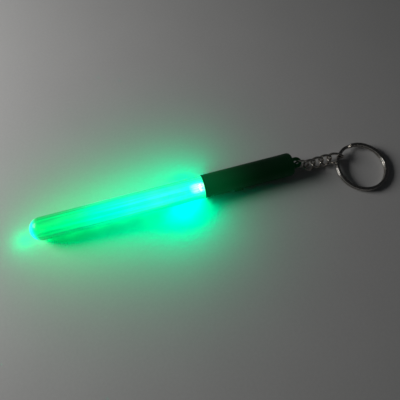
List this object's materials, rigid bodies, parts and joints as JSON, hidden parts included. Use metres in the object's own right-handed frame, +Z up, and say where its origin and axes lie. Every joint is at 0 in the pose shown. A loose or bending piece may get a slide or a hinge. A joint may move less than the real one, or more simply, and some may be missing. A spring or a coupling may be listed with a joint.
{
  "type": "key-chain light stick",
  "caption": "Key-chain light stick: a clear domed tube lit by an LED, a black handle with a push button and a screw cap, and a curb chain with a split ring.",
  "frame": {"origin": "on the table plane, under the middle of the whole object's bounding box, as it lies", "axes": "+X along the stick from the tube's tip towards the key ring, +Y to the far side, away from the push button, +Z up from the table"},
  "size_m": [0.1662, 0.027, 0.0107],
  "materials": {
    "clear_tube": "clear acrylic tube, moulded, lit green from inside",
    "black_plastic": "black ABS, satin, fine moulded grain",
    "button_plastic": "black ABS button, a little glossier than the handle",
    "led_resin": "water-clear LED epoxy, lit",
    "white_plastic": "natural ABS insert",
    "tinned_wire": "tinned copper wire",
    "circuit_laminate": "green solder mask on glass-fibre laminate",
    "black_resin": "black moulding resin",
    "spring_steel": "bright drawn spring steel",
    "contact_brass": "stamped brass sheet",
    "sleeve_film": "thin insulating film",
    "cell_steel": "nickel-plated steel can",
    "nickel_plate": "nickel-plated wire, lightly worn",
    "ring_plate": "nickel-plated flat spring wire"
  },
  "bodies": {
    "handle": {"light_tube": "clear_tube", "front_collar": "black_plastic", "handle_barrel": "black_plastic", "led_body": "led_resin", "led_holder": "white_plastic", "led_lead_anode": "tinned_wire", "led_lead_cathode": "tinned_wire", "circuit_board": "circuit_laminate", "led_resistor": "black_resin", "controller_chip": "black_resin", "switch_housing": "black_resin", "switch_dome": "spring_steel", "switch_cover": "spring_steel", "battery_stop": "white_plastic", "negative_contact": "contact_brass", "positive_strip": "contact_brass", "battery_sleeve": "sleeve_film", "battery_1": "cell_steel", "battery_2": "cell_steel", "battery_3": "cell_steel"},
    "push_button": {"push_button": "button_plastic"},
    "switch_stem": {"switch_stem": "black_resin"},
    "contact_spring": {"contact_spring": "spring_steel"},
    "end_cap": {"end_cap": "black_plastic", "spring_plate": "contact_brass"},
    "jump_ring": {"jump_ring": "nickel_plate"},
    "chain_link_1": {"chain_link_1": "nickel_plate"},
    "chain_link_2": {"chain_link_2": "nickel_plate"},
    "chain_link_3": {"chain_link_3": "nickel_plate"},
    "chain_link_4": {"chain_link_4": "nickel_plate"},
    "key_ring": {"key_ring": "ring_plate"}
  },
  "joints": [
    {"name": "button_press", "type": "slide", "parent": "handle", "child": "push_button", "axis": [0, 0.9063, 0.4226], "range_m": [0, 0.0003]},
    {"name": "switch_press", "type": "slide", "parent": "handle", "child": "switch_stem", "axis": [0, 0.9063, 0.4226], "range_m": [0, 0.0003]},
    {"name": "cap_travel", "type": "slide", "parent": "handle", "child": "contact_spring", "axis": [1, 0, 0], "range_m": [0, 0.0081]},
    {"name": "cap_turn", "type": "hinge", "parent": "contact_spring", "child": "end_cap", "pos_m": [0.03505, 0.00814, 0.00535], "axis": [1, 0, 0], "range_deg": [0, 1800]},
    {"name": "jump_ring_swing", "type": "hinge", "parent": "end_cap", "child": "jump_ring", "pos_m": [0.04005, 0.00814, 0.00535], "axis": [0, 0, 1], "range_deg": [-45, 90]},
    {"name": "chain_link_1_swing", "type": "hinge", "parent": "jump_ring", "child": "chain_link_1", "pos_m": [0.0454, 0.00608, 0.00298], "axis": [-0.3573, 0.1371, -0.9239], "range_deg": [-30, 90]},
    {"name": "chain_link_2_swing", "type": "hinge", "parent": "chain_link_1", "child": "chain_link_2", "pos_m": [0.04947, 0.00651, 0.00276], "axis": [0.052, 0.0055, 0.9986], "range_deg": [-40, 40]},
    {"name": "chain_link_3_swing", "type": "hinge", "parent": "chain_link_2", "child": "chain_link_3", "pos_m": [0.05357, 0.00673, 0.00269], "axis": [-0.0174, -0.0009, -0.9998], "range_deg": [-40, 40]},
    {"name": "chain_link_4_swing", "type": "hinge", "parent": "chain_link_3", "child": "chain_link_4", "pos_m": [0.05767, 0.00666, 0.00269], "axis": [0, 0, 1], "range_deg": [-30, 30]},
    {"name": "key_ring_flip", "type": "hinge", "parent": "chain_link_4", "child": "key_ring", "pos_m": [0.06145, 0.00632, 0.00269], "axis": [-0.6225, -0.7826, 0], "range_deg": [0, 120]}
  ],
  "couplings": [
    {"joint": "switch_press", "follows": "button_press", "ratio": 1},
    {"joint": "cap_travel", "follows": "cap_turn", "m_per_rad": 0.00025465}
  ]
}
